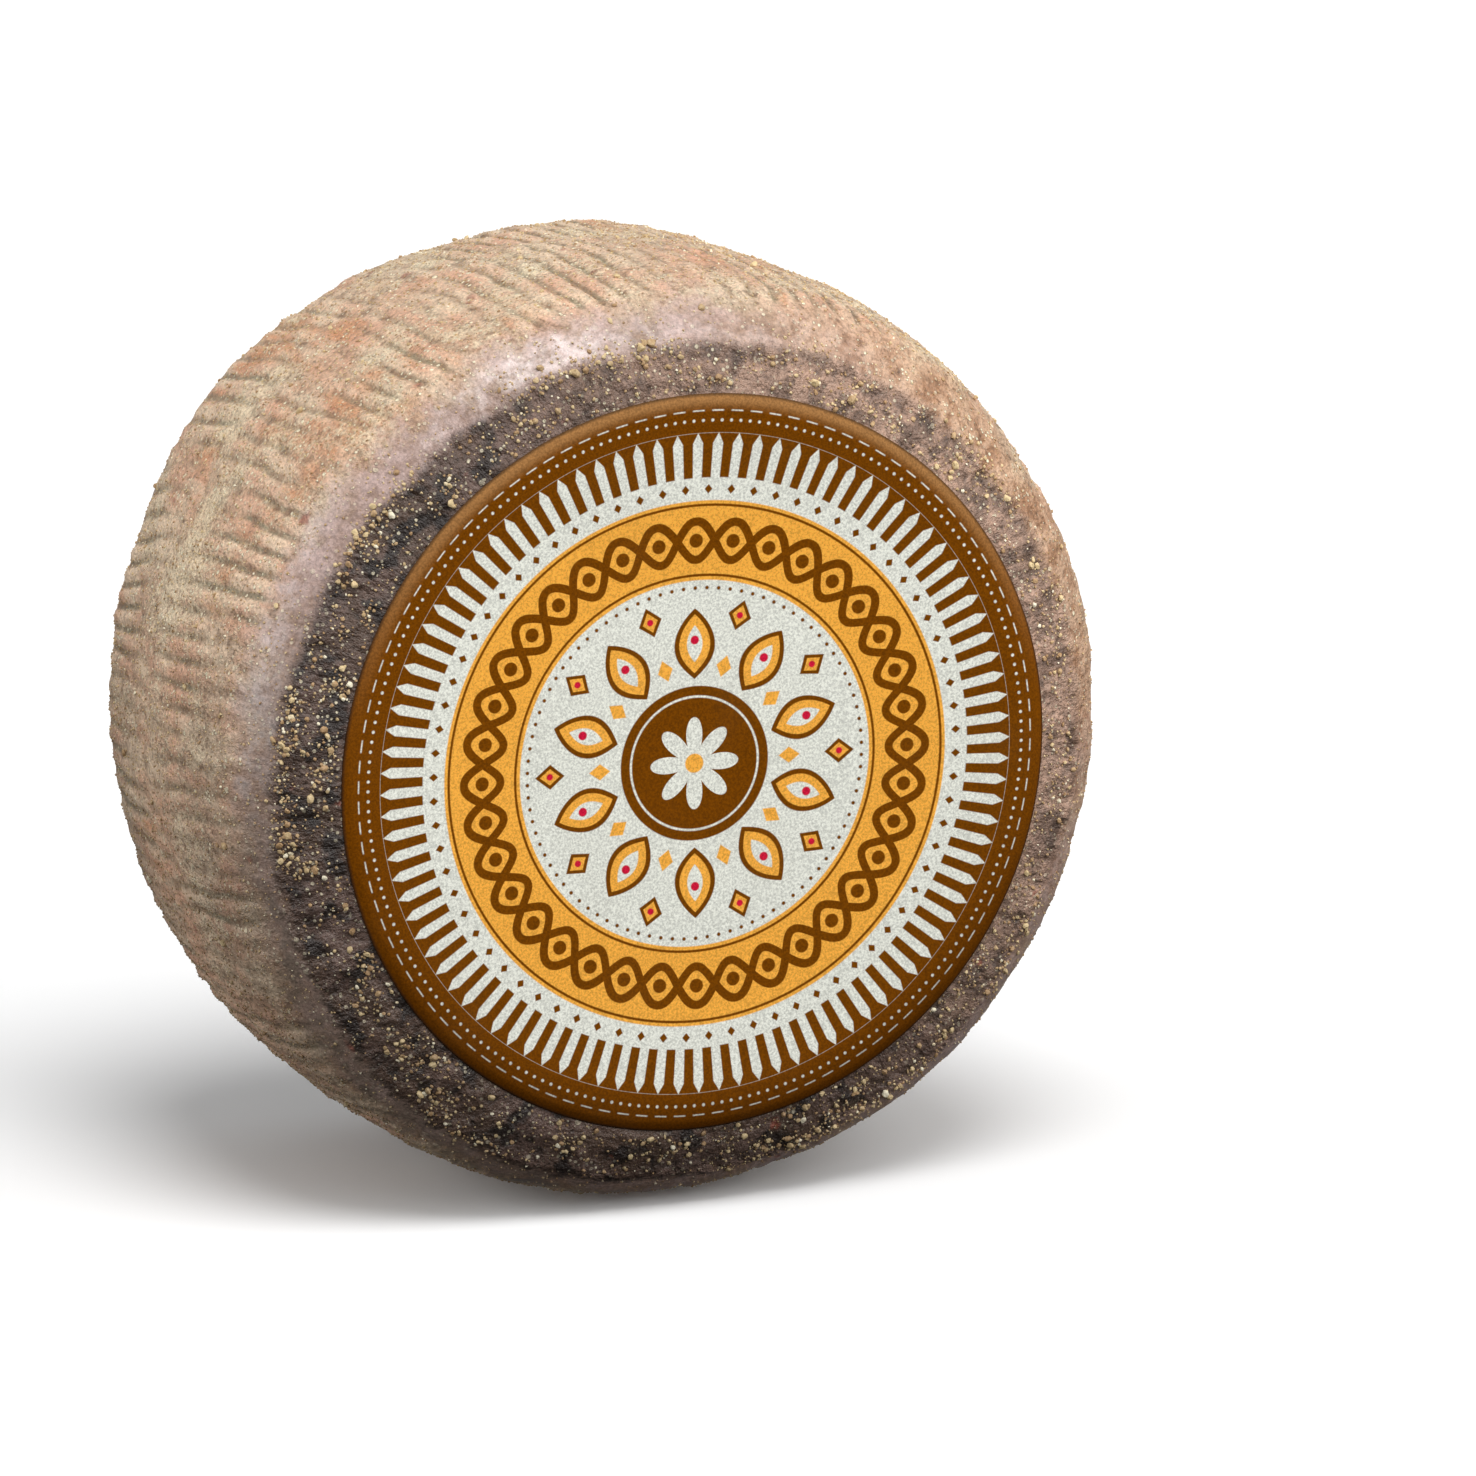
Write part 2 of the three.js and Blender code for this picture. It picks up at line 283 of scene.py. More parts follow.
class Paint:
    """A socket of a material's nodes. Sums on it add Math nodes, so a pattern reads as an expression."""

    def __init__(self, tree, socket=None):
        self.tree = tree
        self.socket = socket

    def node(self, kind, settings=None, inputs=None, output=0):
        """Adds any node: its settings are made first, then the values or links of its sockets."""
        made = self.tree.nodes.new(kind)
        for key, value in (settings or {}).items():
            setattr(made, key, value)
        for key, value in (inputs or {}).items():
            if isinstance(value, Paint):
                self.tree.links.new(value.socket, made.inputs[key])
            else:
                made.inputs[key].default_value = value
        return Paint(self.tree, made.outputs[output] if made.outputs else None)

    def maths(self, operation, *values):
        return self.node("ShaderNodeMath", {"operation": operation}, dict(enumerate(values)))

    def __add__(self, other):
        return self.maths("ADD", self, other)

    __radd__ = __add__

    def __mul__(self, other):
        return self.maths("MULTIPLY", self, other)

    __rmul__ = __mul__

    def __sub__(self, other):
        return self.maths("SUBTRACT", self, other)

    def __rsub__(self, other):
        return self.maths("SUBTRACT", other, self)

    def __truediv__(self, other):
        return self.maths("DIVIDE", self, other)

    def either(self, *others):
        """The larger of this mask and the others."""
        largest = self
        for other in others:
            largest = self.maths("MAXIMUM", largest, other)
        return largest

    def rise(self, low, high, top=1.0):
        """0 below low and top above high, with a smooth step between them."""
        return self.node(
            "ShaderNodeMapRange",
            {"interpolation_type": "SMOOTHSTEP"},
            {"Value": self, "From Min": low, "From Max": high, "To Max": top},
        )

    def choose(self, off, on):
        """The colour off where this mask is 0, on where it is 1, and a blend between them."""
        return self.node("ShaderNodeMix", {"data_type": "RGBA"}, {0: self, 6: off, 7: on}, 2)

    def scaled(self, share):
        """This colour made darker or brighter by a share that may vary."""
        return self.node("ShaderNodeVectorMath", {"operation": "SCALE"}, {0: self, 3: share})

    def stretched(self, scale):
        """These places with their sides drawn out, so that a pattern on them is squeezed as much."""
        return self.node("ShaderNodeVectorMath", {"operation": "MULTIPLY"}, {0: self, 1: scale})

    def clouds(self, size, seed, detail=2.0, rough=0.5):
        """Noise about 0.5, with lumps of that size at this place."""
        return self.node(
            "ShaderNodeTexNoise",
            {"noise_dimensions": "4D"},
            {"Vector": self, "W": seed, "Scale": 1 / size, "Detail": detail, "Roughness": rough},
        )

    def dots(self, spacing, seed, share, small, large):
        """Specks about that far apart. A share of the places has one, small to large across its radius."""
        cell = {"Vector": self, "W": seed, "Scale": 1 / spacing}
        settings = {"voronoi_dimensions": "4D"}
        distance = self.node("ShaderNodeTexVoronoi", settings, cell)
        lot = self.node("ShaderNodeTexVoronoi", settings, cell, "Color")
        draw = self.node("ShaderNodeSeparateColor", None, {"Color": lot}, "Red")
        reach = small + (large - small) * draw.rise(1 - share, 1.0)
        return (reach - distance).rise(0.0, 0.08) * draw.rise(1 - share, 1.02 - share)


def material(name):
    """A new material with an empty tree, and the Paint that adds to it."""
    made = bpy.data.materials.new(name)
    made.use_nodes = True
    made.node_tree.nodes.clear()
    return made, Paint(made.node_tree)


def coat_with(paint, inputs):
    """Joins the patterns to the surface that they colour."""
    surface = paint.node("ShaderNodeBsdfPrincipled", None, inputs)
    paint.node("ShaderNodeOutputMaterial", None, {"Surface": surface})


def tone(red, green, blue):
    """A colour as an eye reads it off a screen, from 0 to 255, as the light that it stands for."""
    channels = np.array([red, green, blue]) / 255
    light = np.where(channels <= 0.04045, channels / 12.92, ((channels + 0.055) / 1.055) ** 2.4)
    return (*light.tolist(), 1.0)


RIB_TAN = tone(232, 204, 174)
RIB_ROSE = tone(222, 172, 142)
FURROW_BROWN = tone(156, 126, 100)
FURROW_OLIVE = tone(146, 134, 108)
BLUSH_ORANGE = tone(206, 146, 104)
BLOOM_CREAM = tone(238, 222, 188)
SHOULDER_DARK = tone(110, 96, 82)
SHOULDER_BROWN = tone(146, 118, 102)
SHOULDER_ROSE = tone(190, 163, 155)
SHOULDER_TAN = tone(216, 178, 146)
SHOULDER_OCHRE = tone(168, 122, 88)
RING_BROWN = tone(90, 71, 60)
RING_BLACK = tone(46, 37, 33)
RING_MAUVE = tone(106, 85, 76)
# The pale ring colour is painted light, for where the ring faces the light.
RING_LIT_PALE = tone(194, 158, 136)
SPOT_RED = tone(150, 80, 62)
# The two pit colours are painted shade.
PIT_SHADE_BROWN = tone(96, 76, 58)
PIT_SHADE_BLACK = tone(40, 31, 26)
# The cream of the specks stands partly for the rind's cream flecks and partly for painted glints.
FLECK_AND_GLINT_CREAM = tone(246, 234, 202)
BROAD_SIZE = 0.030  # the sizes of the patterns, in metres
BLOOM_SIZE = 0.021
PATCH_SIZE = 0.012
SPOT_SIZE = 0.0070
BLOT_SIZE = 0.0062
FLUTE_SIZE = 0.0062
DRIFT_SIZE = 0.0060
STREAK_SIZE = 0.0042
MOTTLE_SIZE = 0.0034
GRAIN_SIZE = 0.0012
DUST_SIZE = 0.00075
COARSE_SPECKS_APART = 0.0023
FINE_SPECKS_APART = 0.00095
SCRATCH_SIZE = 0.0045
WRINKLE_SIZE = 0.0020

rind_material, paint = material("rind")
place = paint.node("ShaderNodeTexCoord", output="Object")
height = paint.node("ShaderNodeSeparateXYZ", None, {0: place}, 2) - AXIS_HEIGHT
sideways = paint.node("ShaderNodeSeparateXYZ", None, {0: place}, 0)
rib = paint.node("ShaderNodeAttribute", {"attribute_name": "rib"}, None, "Fac")
past_crest = paint.node("ShaderNodeAttribute", {"attribute_name": "beyond_crest"}, None, "Fac")
wrap = paint.node("ShaderNodeAttribute", {"attribute_name": "wrap"}, None, "Vector")
broad = place.clouds(BROAD_SIZE, 1, 3.0)
patches = place.clouds(PATCH_SIZE, 2, 3.0)
mottle = place.clouds(MOTTLE_SIZE, 3, 3.0, 0.6)
grain = place.clouds(GRAIN_SIZE, 4, 3.0, 0.7)
streaks = wrap.stretched((1.0, 1.0, 0.22)).clouds(STREAK_SIZE, 5, 3.0)
flutes = wrap.stretched((1.0, 1.0, 0.45)).clouds(FLUTE_SIZE, 14, 2.0)
outer = sideways * 0.8 + height * 0.5 + (broad - 0.5) * 0.03  # from the lower left to the upper right
ragged = past_crest + (mottle - 0.5) * 5.0 + (patches - 0.5) * 5.0
ring_mask = (ragged + (1 - outer.rise(-0.075, 0.0)) * 1.8).rise(-1.8, 2.0)
side_mask = 1 - (past_crest + (patches - 0.5) * 16 + (mottle - 0.5) * 12).rise(-16.5, -4.0)

crest_colour = (patches * 0.5 + streaks * 0.5).rise(0.40, 0.60).choose(RIB_TAN, RIB_ROSE)
furrow_colour = mottle.rise(0.40, 0.60).choose(FURROW_BROWN, FURROW_OLIVE)
on_rib = (rib * 0.95 + (mottle - 0.5) * 1.4 + (grain - 0.5) * 0.8 + 0.12).rise(-0.60, 0.50)
side_colour = on_rib.choose(furrow_colour, crest_colour)
blush = (broad * 0.60 + streaks * 0.40 + height * 0.35).rise(0.55, 0.66) * (0.25 + on_rib * 0.65)
side_colour = blush.choose(side_colour, BLUSH_ORANGE)
bloomed = place.clouds(BLOOM_SIZE, 6, 3.0) * 0.6 + streaks * 0.25 + grain * 0.35 + height * 0.5
bloomed = bloomed.rise(0.62, 0.74) * (0.55 + on_rib * 0.45)
side_colour = (bloomed * 0.75).choose(side_colour, BLOOM_CREAM)
# The side is made darker towards the lower left, near the shoulders.
lower_left_darkening = (1 - outer.rise(-0.11, -0.04)) * past_crest.rise(-46.0, -21.0) * 0.45
side_colour = lower_left_darkening.choose(side_colour, SHOULDER_DARK)
shoulder_colour = (mottle * 0.5 + patches * 0.5).rise(0.38, 0.62).choose(SHOULDER_BROWN, SHOULDER_ROSE)
darkness = (1 - outer.rise(-0.105, -0.035)) * (0.45 + 0.55 * mottle.rise(0.40, 0.60))
shoulder_colour = darkness.choose(shoulder_colour, SHOULDER_DARK)
tanned = (streaks * 0.4 + mottle * 0.6 + (grain - 0.5) * 0.3).rise(0.38, 0.62)
tanned = tanned.choose(SHOULDER_OCHRE, SHOULDER_TAN)
shoulder_colour = outer.rise(0.034, 0.088).choose(shoulder_colour, tanned)
ring_colour = patches.rise(0.40, 0.60).choose(RING_MAUVE, RING_BROWN)
blots = place.clouds(BLOT_SIZE, 7, 3.0).rise(0.50, 0.62)
ring_colour = blots.choose(ring_colour, RING_BLACK)
# The ring is painted paler towards the upper right and the top, where more light falls: painted light.
painted_ring_light = outer.rise(-0.018, 0.080) * (0.35 + 0.65 * (mottle * 0.6 + flutes * 0.4).rise(0.40, 0.58))
ring_colour = painted_ring_light.choose(ring_colour, RING_LIT_PALE)
# Just inside the crest the ring is darkened in patches towards near-black: painted shade under the crest.
crest_band = past_crest.rise(-0.6, 0.6) * (1 - past_crest.rise(1.5, 6.0))
painted_crest_shade = 1 - (flutes * 0.30 + mottle * 0.30 + patches * 0.40).rise(0.40, 0.56)
ring_colour = (painted_crest_shade * crest_band * 0.65).choose(ring_colour, RING_BLACK)
colour = side_mask.choose(shoulder_colour, side_colour)
colour = ring_mask.choose(colour, ring_colour)
red_spots = place.clouds(SPOT_SIZE, 8, 2.0).rise(0.69, 0.76) * 0.7
colour = red_spots.choose(colour, SPOT_RED)
smooth_rind = (1 - side_mask.either(ring_mask)) * (1 - outer.rise(0.045, 0.080))
rough_rind = 1 - smooth_rind
# Small dark spots where the grain and mottle are low stand for the shade in pits: painted shade, strongest
# on the rough rind.
painted_pit_shade = (1 - grain.rise(0.35, 0.44)) * 0.45 + (1 - mottle.rise(0.32, 0.44)) * 0.30
colour = (painted_pit_shade * (0.35 + 0.65 * rough_rind)).choose(colour, ring_mask.choose(PIT_SHADE_BROWN, PIT_SHADE_BLACK))
# Cream specks: partly the rind's own cream flecks, partly painted glints. They thin out towards the bottom,
# as painted shade.
fine_flecks_and_glints = place.dots(FINE_SPECKS_APART, 9, 0.62, 0.14, 0.50)
coarse_flecks_and_glints = place.dots(COARSE_SPECKS_APART, 10, 0.36, 0.10, 0.34)
flecks_and_glints = fine_flecks_and_glints.either(coarse_flecks_and_glints)
fleck_and_glint_share = 0.40 + 0.60 * place.clouds(DRIFT_SIZE, 11, 2.0).rise(0.40, 0.56)
fleck_and_glint_share = fleck_and_glint_share * (0.35 + 0.65 * rough_rind * (1 - ring_mask * 0.5))
fleck_and_glint_share = fleck_and_glint_share * (0.45 + 0.55 * height.rise(-0.08, 0.03))
colour = (flecks_and_glints * fleck_and_glint_share).choose(colour, FLECK_AND_GLINT_CREAM)
# The colour is made a little darker or brighter at random, in fine grains.
fine_tone = place.clouds(DUST_SIZE, 15, 2.0, 0.7).rise(0.30, 0.70)
colour = colour.scaled(0.76 + 0.48 * fine_tone)

roughness = 0.38 + bloomed * side_mask * 0.15 + (grain - 0.5) * 0.40
gleam = smooth_rind * (0.20 + 0.80 * (mottle * 0.5 + grain * 0.5).rise(0.40, 0.60))
scratches = wrap.stretched((1.0, 1.0, 8.0)).clouds(SCRATCH_SIZE, 12, 3.0, 0.7)
wrinkles = wrap.stretched((1.0, 1.0, 0.6)).clouds(WRINKLE_SIZE, 13, 3.0, 0.6)
tooth = (grain * 0.7 + mottle * 0.5 + wrinkles * 0.8) * (0.45 + 0.55 * rough_rind) * (1 + ring_mask * 0.8)
tooth = tooth + flecks_and_glints * fleck_and_glint_share * 0.5 + bloomed * side_mask * grain * 0.5 + scratches * 0.30 * smooth_rind
bump = paint.node("ShaderNodeBump", None, {"Strength": 1.0, "Distance": 0.00080, "Height": tooth})
coat_with(paint, {
    "Base Color": colour,
    "Roughness": roughness,
    "Specular IOR Level": 0.50,
    "Coat Weight": gleam,
    "Coat Roughness": 0.24,
    "Coat IOR": 1.60,
    "Normal": bump,
})
rind.data.materials.append(rind_material)
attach(rind, "root")
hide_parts("cheese_wheel")

# The crumbs are granules of dried bloom that cling to the rind, thickest on the dark rings round the two
# faces and in a row along their crests. The flecks are finer, and lie over the side and the shoulders too.
LARGE_CRUMBS = 2490
SMALL_CRUMBS = 9900
FLECKS = 24000
LARGE_RADII = (0.00028, 0.00105)
SMALL_RADII = (0.00018, 0.00052)
FLECK_RADII = (0.00014, 0.00046)
CRUMB_SLACK = 0.0006  # sideways from the middle of the face of rind that a crumb is drawn for
CRUMB_RISE = 0.30  # of its middle from the rind, as a share of its radius
CRUMB_FLATNESS = 0.25
CRUMB_TAN = tone(172, 138, 98)
CRUMB_CREAM = tone(214, 190, 144)
CRUMB_WHITE = tone(242, 232, 204)


def lump_shape(detail):
    """The corners and the faces of one uneven lump about as large as a unit ball."""
    bpy.ops.object.select_all(action="DESELECT")
    if detail == 0:
        bpy.ops.mesh.primitive_cone_add(vertices=4, radius1=1, depth=2, end_fill_type="TRIFAN")
    else:
        bpy.ops.mesh.primitive_ico_sphere_add(subdivisions=detail, radius=1)
    lump = bpy.context.object
    corners = numbers(lump.data.vertices, "co", 3)
    if detail == 0:
        corners[np.hypot(corners[:, 0], corners[:, 1]) > 0.5, 2] = 0  # two pyramids, base to base
    faces = np.array([face.vertices[:] for face in lump.data.polygons])
    corners *= 1 + 0.28 * clouds(corners, 0.7, 15)[:, None]
    bpy.data.objects.remove(lump)
    return corners, faces


def any_turns(count, random):
    """As many turns about random axes, as matrices."""
    w, x, y, z = random.normal(size=(4, count))
    long = np.sqrt(w * w + x * x + y * y + z * z)
    w, x, y, z = w / long, x / long, y / long, z / long
    return np.stack([
        1 - 2 * (y * y + z * z), 2 * (x * y - w * z), 2 * (x * z + w * y),
        2 * (x * y + w * z), 1 - 2 * (x * x + z * z), 2 * (y * z - w * x),
        2 * (x * z - w * y), 2 * (y * z + w * x), 1 - 2 * (x * x + y * y),
    ], axis=1).reshape(-1, 3, 3)


crumb_material, paint = material("dried_bloom")
place = paint.node("ShaderNodeTexCoord", output="Object")
tint = paint.node("ShaderNodeAttribute", {"attribute_name": "tint"}, None, "Fac")
sideways = paint.node("ShaderNodeSeparateXYZ", None, {0: place}, 0)
height = paint.node("ShaderNodeSeparateXYZ", None, {0: place}, 2)
mixed = tint + (place.clouds(0.0007, 31) - 0.5) * 0.7
colour = mixed.rise(0.1, 0.8).choose(CRUMB_TAN, CRUMB_CREAM)
colour = tint.rise(0.88, 0.94).choose(colour, CRUMB_WHITE)
# The crumbs are painted lighter towards the top and the right, where more light falls: painted light.
painted_crumb_light = height.rise(0.02, 0.13) * 0.36 + sideways.rise(0.0, 0.05) * 0.25
colour = colour.scaled(0.64 + painted_crumb_light)
coat_with(paint, {
    "Base Color": colour,
    "Roughness": 0.5,
    "Normal": paint.node(
        "ShaderNodeBump", None,
        {"Strength": 0.6, "Distance": 0.00015, "Height": place.clouds(0.0004, 32)},
    ),
})

spots = numbers(rind.data.polygons, "center", 3)
facing = numbers(rind.data.polygons, "normal", 3)
areas = numbers(rind.data.polygons, "area", 1)
where = Skin(spots)
column = np.floor(where.turn / math.tau * RIB_COUNT * COLUMNS_PER_RIB)
order = np.lexsort((where.length * np.sign(where.y), column))  # merging leaves the faces in any order
spots, facing, areas = spots[order], facing[order], areas[order]
where = Skin(spots)
where_crest = CREST - CREST_SHIFT * np.sin(where.turn)
open_spots = ((where.y > 0) | (where.beyond_label > 0.0008)) & (spots[:, 2] > 0.0012)
clumps = ease(clouds(spots, 0.0055, 21) + 0.6 * clouds(spots, 0.0022, 22), 0.15, 0.80)
drifts = ease(clouds(spots, 0.020, 23), -0.4, 0.5)
lower_left = ease(-spots[:, 0] * 0.7 - (spots[:, 2] - AXIS_HEIGHT) * 0.7, -0.04, 0.07)
on_ring = ease(where.length, where_crest - 0.0005, where_crest + 0.0025)
on_ring *= 1 - ease(where.length, 0.072, 0.086)
on_crest = np.exp(-(((where.length - where_crest) / 0.0017) ** 2))
on_side = 1 - ease(where.length, 0.036, 0.042)


def strewn(name, count, density, sizes, stretch, detail, seed):
    """Crumbs drawn over the rind by how thick they lie there, with many small ones and few large."""
    random = np.random.default_rng(seed)
    weights = density * areas * open_spots
    drawn = random.choice(len(weights), count, replace=False, p=weights / weights.sum())
    radii = sizes[0] + (sizes[1] - sizes[0]) * random.beta(1.0, 3.6, count)
    outward = facing[drawn]
    slack = random.uniform(-CRUMB_SLACK, CRUMB_SLACK, (count, 3))
    slack -= np.einsum("ni,ni->n", slack, outward)[:, None] * outward
    corners, faces = lump_shape(detail)
    lumps = corners * random.uniform(0.75, 1.25, (count, 1, 3))
    lumps = np.einsum("nij,nkj->nki", any_turns(count, random), lumps)
    lumps *= (1, stretch, 1)
    lumps -= CRUMB_FLATNESS * np.einsum("nki,ni->nk", lumps, outward)[:, :, None] * outward[:, None, :]
    seats = spots[drawn] + slack + outward * (CRUMB_RISE * radii)[:, None]
    placed = seats[:, None, :] + lumps * radii[:, None, None]
    joined = faces[None] + (np.arange(count) * len(corners))[:, None, None]
    mesh = bpy.data.meshes.new(name)
    mesh.from_pydata(placed.reshape(-1, 3).tolist(), [], joined.reshape(-1, 3).tolist())
    tints = np.repeat(random.uniform(0, 1, count), len(corners))
    mesh.attributes.new("tint", "FLOAT", "POINT").data.foreach_set("value", tints)
    mesh.materials.append(crumb_material)
    piece = bpy.data.objects.new(name, mesh)
    bpy.context.scene.collection.objects.link(piece)
    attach(piece, "root")


thick = on_ring * (0.12 + clumps * (0.45 + 0.55 * lower_left)) + 0.9 * on_crest * drifts
on_rest = 0.02 + 0.06 * on_side * clumps
strewn("large_crumbs", LARGE_CRUMBS, thick + 0.2 * on_rest, LARGE_RADII, 1, 2, 41)
strewn("small_crumbs", SMALL_CRUMBS, thick + on_rest, SMALL_RADII, 1, 1, 42)
everywhere = (0.3 + on_side * (0.4 + clumps * drifts)) * (1 - 0.8 * on_ring)
strewn("flecks", FLECKS, everywhere, FLECK_RADII, 1.2, 0, 43)

# The label is a round sheet of printed paper, glued to the front face. Rings of brown, cream and amber
# run round it, with a striped border, a plait of two waves, a wreath of petals and a small flower.
LABEL_LIFT = 0.0008  # of the face of the paper from the rind
PAPER_THICKNESS = 0.00022
ROLL_WIDTH = 0.0024  # of the rim, which is pressed down onto the rind
ROLL_DEPTH = 0.00080
LABEL_TURNS = 240
BROWN_INK = tone(120, 66, 0)
AMBER_INK = tone(253, 180, 72)
BARE_PAPER = tone(236, 237, 226)
RED_INK = tone(215, 26, 62)
# The tan of the label's upper rim is painted light.
RIM_LIGHT_TAN = tone(190, 148, 98)
STAIN_BROWN = tone(120, 92, 60)
# The dark of the paper's cut edge is painted shadow.
EDGE_SHADOW_DARK = tone(40, 30, 24)

inner_radii = np.linspace(0, LABEL_RADIUS - ROLL_WIDTH, 36)
rim_radii = LABEL_RADIUS - ROLL_WIDTH * np.linspace(0.9, 0, 10)
paper_radii = np.concatenate([inner_radii, rim_radii])
label_centre = Vector((LABEL_SIDEWAYS, 0, AXIS_HEIGHT - LABEL_DROP))
label = spun("printed_label", paper_radii, np.zeros_like(paper_radii), LABEL_TURNS, label_centre)
face_radii, face_heights, _, _ = half_outline((400, 400, 300, 400))
paper = numbers(label.data.vertices, "co", 3)
from_axis = np.hypot(paper[:, 0], paper[:, 2] - AXIS_HEIGHT)
from_middle = np.hypot(paper[:, 0] - label_centre.x, paper[:, 2] - label_centre.z)
roll = ROLL_DEPTH * ease(from_middle, LABEL_RADIUS - ROLL_WIDTH, LABEL_RADIUS + ROLL_WIDTH) * 2
paper[:, 1] = -np.interp(-from_axis, -face_radii, face_heights) - LABEL_LIFT + roll
paper[:, 1] += 0.00007 * clouds(paper * (1, 0, 1), 0.013, 51)
label.data.vertices.foreach_set("co", paper.ravel())
label.data.update()
if label.data.polygons[0].normal.y > 0:
    label.data.flip_normals()
thickness = label.modifiers.new("thickness", "SOLIDIFY")
thickness.thickness = PAPER_THICKNESS
thickness.offset = -1
bpy.ops.object.modifier_apply(modifier="thickness")

label_material, paint = material("label_print")
place = paint.node("ShaderNodeTexCoord", output="Object")
x = (paint.node("ShaderNodeSeparateXYZ", None, {0: place}, 0) - label_centre.x) / LABEL_RADIUS
z = (paint.node("ShaderNodeSeparateXYZ", None, {0: place}, 2) - label_centre.z) / LABEL_RADIUS
rho = paint.maths("SQRT", x * x + z * z)
turn = paint.maths("ARCTAN2", z, x) / math.tau + 0.5
EDGE = 0.0018  # how soft the print's edges are, as a share of the label's radius


def sector(count, offset=0.0):
    """Where a point lies across one of count equal sectors, from -0.5 to 0.5."""
    return paint.maths("FRACT", turn * count + offset) - 0.5


def across(count, offset=0.0):
    """The same as a length, in label radii."""
    return sector(count, offset) * (math.tau / count) * rho


def size(value):
    return paint.maths("ABSOLUTE", value)


def within(distance, limit, soft=EDGE):
    """1 where distance is less than limit."""
    return 1 - (distance - limit).rise(-soft, soft)


def band(low, high):
    """1 between two radii of the label."""
    return within(size(rho - (low + high) / 2), (high - low) / 2)


def lozenge(sideways, outward, half_width, half_length):
    return within(size(sideways) / half_width + size(outward) / half_length, 1.0, EDGE / half_width)


def dot(sideways, outward, radius):
    return within(paint.maths("SQRT", sideways * sideways + outward * outward), radius)


def petal(sideways, outward, half_width, half_length):
    share = outward / half_length
    return within(size(sideways), half_width * (1 - share * share)) * within(size(outward), half_length)


STRIPES = 96
STRIPE_FOOT = 0.775
STRIPE_TIP = 0.868
TOOTH_LENGTH = 0.028
PLAITS = 18
PLAIT_RADIUS = 0.605
PLAIT_SWING = 0.052
PLAIT_STROKE = 0.0115
PETALS = 10
PETAL_RADIUS = 0.325  # of the circle that the petals' middles stand on
RHOMB_RADIUS = 0.412
toothed = 0.25 + 0.25 * paint.node("ShaderNodeClamp", None, {0: (rho - STRIPE_TIP) / TOOTH_LENGTH})
stripes = within(size(sector(STRIPES)), toothed, 0.03) * band(STRIPE_FOOT, STRIPE_TIP + TOOTH_LENGTH)
swing = turn * PLAITS * math.tau
wave = PLAIT_SWING * paint.maths("COSINE", swing)
steepness = PLAIT_SWING * PLAITS / PLAIT_RADIUS * paint.maths("SINE", swing)
stroke = PLAIT_STROKE * paint.maths("SQRT", 1 + steepness * steepness)
small_rhombs = lozenge(across(PETALS, 0.5), rho - RHOMB_RADIUS, 0.034, 0.042)
brown = stripes.either(
    band(STRIPE_TIP + TOOTH_LENGTH, 1.1),
    lozenge(across(72), rho - 0.744, 0.011, 0.013),
    within(size(rho - PLAIT_RADIUS - wave), stroke),
    within(size(rho - PLAIT_RADIUS + wave), stroke),
    dot(across(PLAITS * 2, 0.5), rho - PLAIT_RADIUS, 0.019),
    band(0.507, 0.514),
    band(0.697, 0.704),
    dot(across(90), rho - 0.476, 0.0052),
    petal(across(PETALS), rho - PETAL_RADIUS, 0.058, 0.096),
    small_rhombs,
    band(-0.21, 0.21),
)
amber = petal(across(PETALS), rho - PETAL_RADIUS, 0.044, 0.080).either(
    lozenge(across(PETALS, 0.5), rho - RHOMB_RADIUS, 0.022, 0.028),
    lozenge(across(PETALS, 0.5), rho - 0.270, 0.022, 0.030),
)
flower = 0.050 + 0.075 * size(paint.maths("COSINE", turn * 4 * math.tau))
pale = petal(across(PETALS), rho - PETAL_RADIUS, 0.022, 0.050).either(
    within(rho, flower),
    band(0.178, 0.184),
    dot(across(220), rho - 0.930, 0.0042),
    within(size(sector(110)), 0.30, 0.05) * band(0.9550, 0.9585),
)
red = dot(across(PETALS), rho - 0.335, 0.012).either(
    dot(across(PETALS, 0.5), rho - RHOMB_RADIUS, 0.009),
)
colour = band(0.497, 0.713).choose(BARE_PAPER, AMBER_INK)
colour = brown.choose(colour, BROWN_INK)
colour = amber.choose(colour, AMBER_INK)
colour = pale.choose(colour, BARE_PAPER)
colour = red.choose(colour, RED_INK)
colour = within(rho, 0.026).choose(colour, AMBER_INK)
# The top of the label's rim is painted a lighter tan, as light caught by the pressed-down edge: painted
# light.
painted_rim_light = rho.rise(0.950, 0.985) * z.rise(0.10, 0.80)
colour = (painted_rim_light * 0.40).choose(colour, RIM_LIGHT_TAN)
fibre = place.clouds(0.00050, 52, 1.0, 0.8)
stain = place.clouds(0.018, 53, 2.0)
# The print is painted darker towards the bottom, and most at the bottom of its rim: painted shade.
painted_label_shade = 0.86 + 0.14 * z.rise(-0.80, 0.60)
painted_label_shade = painted_label_shade * (1 - 0.40 * rho.rise(0.86, 1.0) * (1 - z.rise(-0.90, 0.10)))
colour = colour.scaled(painted_label_shade * (0.76 + 0.48 * fibre.rise(0.28, 0.72)))
colour = (stain.rise(0.5, 0.8) * 0.05).choose(colour, STAIN_BROWN)
# A dark line round the very edge of the paper: painted shadow under its edge.
colour = (rho.rise(0.990, 0.999) * 0.7).choose(colour, EDGE_SHADOW_DARK)
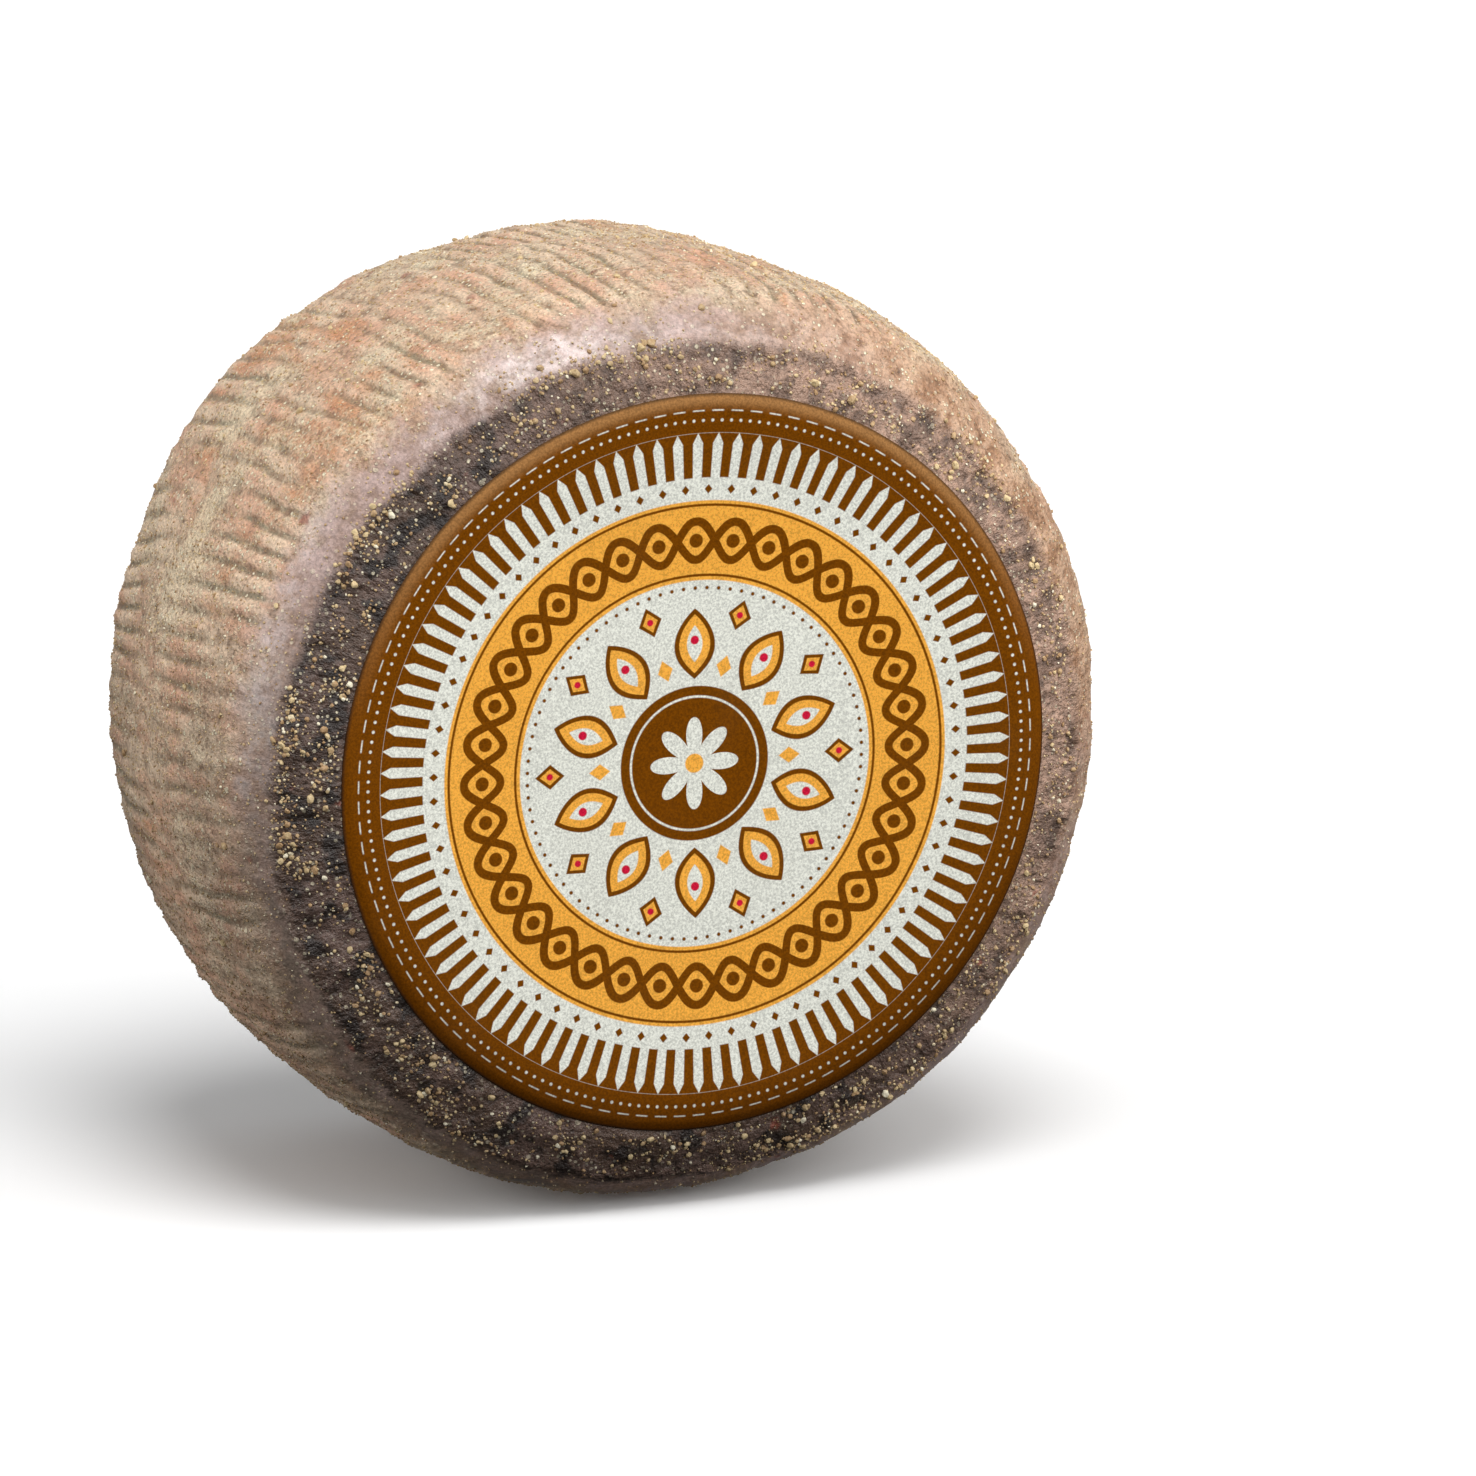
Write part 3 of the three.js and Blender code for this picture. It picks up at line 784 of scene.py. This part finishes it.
coat_with(paint, {
    "Base Color": colour,
    "Roughness": 0.60 + fibre * 0.16,
    "Specular IOR Level": 0.04,
    "Normal": paint.node(
        "ShaderNodeBump", None, {"Strength": 0.35, "Distance": 0.00010, "Height": fibre}
    ),
})
label.data.materials.append(label_material)
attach(label, "root")
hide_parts("paper_label")

# The wheel stands on a plain white floor under an even sky. A soft light stands high in front of it, and a
# broad one low on each side. None of this is part of the wheel.
FLOOR_WIDTH = 14.0
FLOOR_WHITE = (0.96, 0.96, 0.96, 1.0)
SKY = 0.35
GROUND_GLOW = 0.16  # at the horizon, fading to nothing straight below
LIGHTS = (
    ("key_light", (-0.05, -0.40, 0.90), 30, 0.54),
    ("right_light", (0.55, -0.70, 0.45), 65, 0.61),
    ("left_light", (-0.97, 0.10, 0.25), 50, 0.40),
)

bpy.ops.object.select_all(action="DESELECT")
bpy.ops.mesh.primitive_plane_add(size=FLOOR_WIDTH)
floor = bpy.context.object
floor.name = "floor"
floor.visible_diffuse = False
floor.visible_glossy = False
floor.visible_shadow = False
floor_material, paint = material("floor")
coat_with(paint, {"Base Color": FLOOR_WHITE, "Roughness": 0.9, "Specular IOR Level": 0.0})
floor.data.materials.append(floor_material)

for name, direction, degrees, strength in LIGHTS:
    towards = Vector(direction).normalized()
    bpy.ops.object.light_add(type="SUN", location=towards)
    light = bpy.context.object
    light.name = name
    light.rotation_euler = towards.to_track_quat("Z", "Y").to_euler()
    light.data.angle = math.radians(degrees)
    light.data.energy = strength * math.pi

world = bpy.data.worlds.new("studio")
world.use_nodes = True
world.node_tree.nodes.clear()
paint = Paint(world.node_tree)
direction = paint.node("ShaderNodeTexCoord", output="Generated")
upward = paint.node("ShaderNodeSeparateXYZ", None, {0: direction}, 2)
glow = upward.rise(-0.9, 0.0, GROUND_GLOW) + upward.rise(-0.02, 0.10, SKY - GROUND_GLOW)
seen = paint.node("ShaderNodeLightPath", output="Is Camera Ray")
strength = glow * (1 - seen) + seen
background = paint.node("ShaderNodeBackground", None, {"Color": (1, 1, 1, 1), "Strength": strength})
paint.node("ShaderNodeOutputWorld", None, {"Surface": background})
bpy.context.scene.world = world
bpy.context.scene.view_settings.view_transform = "Standard"
